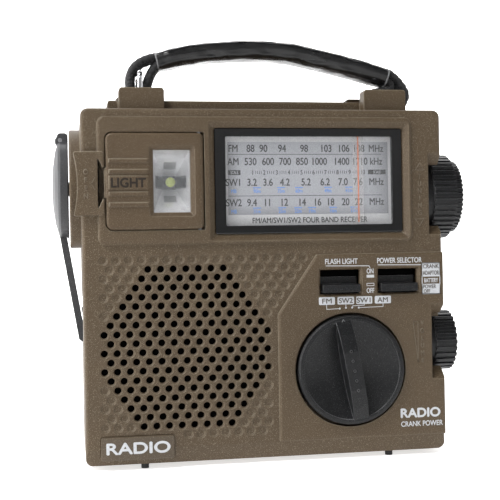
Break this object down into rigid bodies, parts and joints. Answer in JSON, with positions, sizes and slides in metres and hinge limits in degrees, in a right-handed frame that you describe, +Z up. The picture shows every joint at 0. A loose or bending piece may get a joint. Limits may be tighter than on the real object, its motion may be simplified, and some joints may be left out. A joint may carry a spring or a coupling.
{
  "type": "emergency radio",
  "caption": "Hand-crank emergency radio with a tuning dial, hinged lamp door, speaker grille, folding crank, telescopic aerial and padded strap.",
  "frame": {"origin": "bottom centre of the whole radio, on the plane its feet stand on", "axes": "+X to the right seen from the front, +Y to the back, +Z up"},
  "size_m": [0.1759, 0.065, 0.1795],
  "materials": {
    "olive_case": "fine metallic grain",
    "olive_door": "fine metallic grain",
    "olive_plate": "satin",
    "black_plastic": "satin",
    "black_gloss": "gloss",
    "charcoal_plastic": "satin",
    "clear_window": "clear",
    "clear_lens": "clear",
    "clear_pointer": "clear with a red line",
    "dial_white": "printed card",
    "chrome_metal": "polished",
    "steel": "plain",
    "reflector_chrome": "vacuum metallised",
    "led_yellow": "clear yellow",
    "grey_plastic": "plain",
    "brass_contact": "plain",
    "cell_wrap": "printed wrap",
    "pack_wrap": "shrink wrap",
    "board_green": "solder mask",
    "ferrite": "plain",
    "coil_copper": "enamelled wire",
    "paper_cone": "pressed paper",
    "magnet_iron": "plain",
    "vinyl_sleeve": "glossy vinyl",
    "webbing_black": "woven",
    "foot_rubber": "plain"
  },
  "bodies": {
    "case": {"front_case": "olive_case", "rear_case": "olive_case", "name_plate": "olive_plate", "feet": "foot_rubber", "case_screws": "steel", "dial_bezel": "black_gloss", "dial_window": "clear_window", "dial_card": "dial_white", "pointer_rail": "steel", "lamp_hinge_pin": "steel", "lamp_reflector": "reflector_chrome", "lamp_led": "led_yellow", "slide_switches": "grey_plastic", "band_switch": "grey_plastic", "tuning_capacitor": "grey_plastic", "volume_control": "grey_plastic", "dynamo_can": "steel", "speaker_frame": "steel", "speaker_cone": "paper_cone", "speaker_magnet": "magnet_iron", "main_board": "board_green", "ferrite_rod": "ferrite", "aerial_coil": "coil_copper", "recharge_pack": "pack_wrap", "batteries": "cell_wrap", "battery_contacts": "brass_contact", "battery_hinge_pin": "steel", "earphone_socket": "black_plastic", "power_socket": "black_plastic"},
    "pointer": {"dial_pointer": "clear_pointer"},
    "lamp_door": {"lamp_door": "olive_door", "lamp_lens": "clear_lens"},
    "lamp_slider": {"lamp_switch_knob": "black_plastic"},
    "power_slider": {"power_switch_knob": "black_plastic"},
    "band": {"band_knob": "black_plastic"},
    "tuning": {"tuning_knob": "black_plastic", "tuning_shaft": "steel"},
    "fine_tuning": {"fine_tuning_knob": "black_plastic"},
    "volume": {"volume_knob": "black_plastic"},
    "crank": {"crank_disc": "charcoal_plastic", "crank_shaft": "steel", "crank_arm_pin": "steel", "drive_gear": "grey_plastic"},
    "crank_arm": {"crank_arm": "charcoal_plastic", "crank_grip_stud": "steel"},
    "crank_grip": {"crank_grip": "black_plastic"},
    "rotor": {"dynamo_pinion": "brass_contact", "dynamo_rotor": "steel"},
    "battery_door": {"battery_door": "olive_case"},
    "aerial_base": {"aerial_turntable": "chrome_metal", "aerial_pin": "steel"},
    "aerial_arm": {"aerial_knuckle": "chrome_metal", "aerial_tube_1": "chrome_metal"},
    "aerial_second": {"aerial_tube_2": "chrome_metal"},
    "aerial_third": {"aerial_tube_3": "chrome_metal"},
    "aerial_tip": {"aerial_tube_4": "chrome_metal"},
    "strap": {"strap_webbing": "webbing_black", "strap_sleeve": "vinyl_sleeve"},
    "left_ring": {"left_ring": "chrome_metal"},
    "right_ring": {"right_ring": "chrome_metal"}
  },
  "joints": [
    {"name": "tuning_turn", "type": "hinge", "parent": "case", "child": "tuning", "pos_m": [0.077, -0.005, 0.1109], "axis": [1, 0, 0], "range_deg": [-155, 25]},
    {"name": "fine_tuning_turn", "type": "hinge", "parent": "tuning", "child": "fine_tuning", "pos_m": [0.086, -0.005, 0.1109], "axis": [1, 0, 0], "range_deg": [-60, 60]},
    {"name": "pointer_slide", "type": "slide", "parent": "case", "child": "pointer", "axis": [1, 0, 0], "range_m": [-0.0492, 0.008]},
    {"name": "volume_turn", "type": "hinge", "parent": "case", "child": "volume", "pos_m": [0.077, -0.01, 0.0474], "axis": [1, 0, 0], "range_deg": [0, 280]},
    {"name": "lamp_door_hinge", "type": "hinge", "parent": "case", "child": "lamp_door", "pos_m": [-0.0282, -0.0257, 0.1172], "axis": [0, 0, 1], "range_deg": [0, 95]},
    {"name": "lamp_switch_slide", "type": "slide", "parent": "case", "child": "lamp_slider", "axis": [0, 0, 1], "range_m": [0, 0.0055]},
    {"name": "power_switch_slide", "type": "slide", "parent": "case", "child": "power_slider", "axis": [0, 0, 1], "range_m": [0, 0.0057]},
    {"name": "band_turn", "type": "hinge", "parent": "case", "child": "band", "pos_m": [0.0345, -0.0255, 0.0376], "axis": [0, 1, 0], "range_deg": [0, 18]},
    {"name": "crank_spin", "type": "hinge", "parent": "case", "child": "crank", "pos_m": [-0.08, 0.007, 0.116], "axis": [1, 0, 0], "range_deg": [0, 313]},
    {"name": "crank_arm_fold", "type": "hinge", "parent": "crank", "child": "crank_arm", "pos_m": [-0.0843, 0.007, 0.1365], "axis": [0, 1, 0], "range_deg": [0, 180]},
    {"name": "crank_grip_spin", "type": "hinge", "parent": "crank_arm", "child": "crank_grip", "pos_m": [-0.07573, 0.007, 0.0578], "axis": [0.9864, 0, 0.1644], "continuous": true},
    {"name": "rotor_spin", "type": "hinge", "parent": "case", "child": "rotor", "pos_m": [-0.07, 0.007, 0.09254], "axis": [1, 0, 0], "range_deg": [-1050, 5]},
    {"name": "battery_door_hinge", "type": "hinge", "parent": "case", "child": "battery_door", "pos_m": [0.019, 0.0313, 0.01355], "axis": [-1, 0, 0], "range_deg": [0, 90]},
    {"name": "aerial_swivel", "type": "hinge", "parent": "case", "child": "aerial_base", "pos_m": [0.064, 0.027, 0.149], "axis": [0, 0, 1], "range_deg": [-180, 0]},
    {"name": "aerial_tilt", "type": "hinge", "parent": "aerial_base", "child": "aerial_arm", "pos_m": [0.064, 0.027, 0.1523], "axis": [0, 1, 0], "range_deg": [0, 135]},
    {"name": "aerial_pull_second", "type": "slide", "parent": "aerial_arm", "child": "aerial_second", "axis": [-1, 0, 0], "range_m": [0, 0.095]},
    {"name": "aerial_pull_third", "type": "slide", "parent": "aerial_second", "child": "aerial_third", "axis": [-1, 0, 0], "range_m": [0, 0.095]},
    {"name": "aerial_pull_tip", "type": "slide", "parent": "aerial_third", "child": "aerial_tip", "axis": [-1, 0, 0], "range_m": [0, 0.09]},
    {"name": "left_ring_swing", "type": "hinge", "parent": "case", "child": "left_ring", "pos_m": [-0.0507, -0.0012, 0.1535], "axis": [0, 1, 0], "range_deg": [-4, 4]},
    {"name": "right_ring_swing", "type": "hinge", "parent": "case", "child": "right_ring", "pos_m": [0.0537, -0.0012, 0.1535], "axis": [0, 1, 0], "range_deg": [-4, 4]},
    {"name": "strap_sway", "type": "hinge", "parent": "case", "child": "strap", "pos_m": [0, -0.0012, 0.1535], "axis": [1, 0, 0], "range_deg": [-10, 10]}
  ],
  "couplings": [
    {"joint": "rotor_spin", "follows": "crank_spin", "ratio": -3.3333},
    {"joint": "pointer_slide", "follows": "tuning_turn", "m_per_rad": 0.01814}
  ]
}
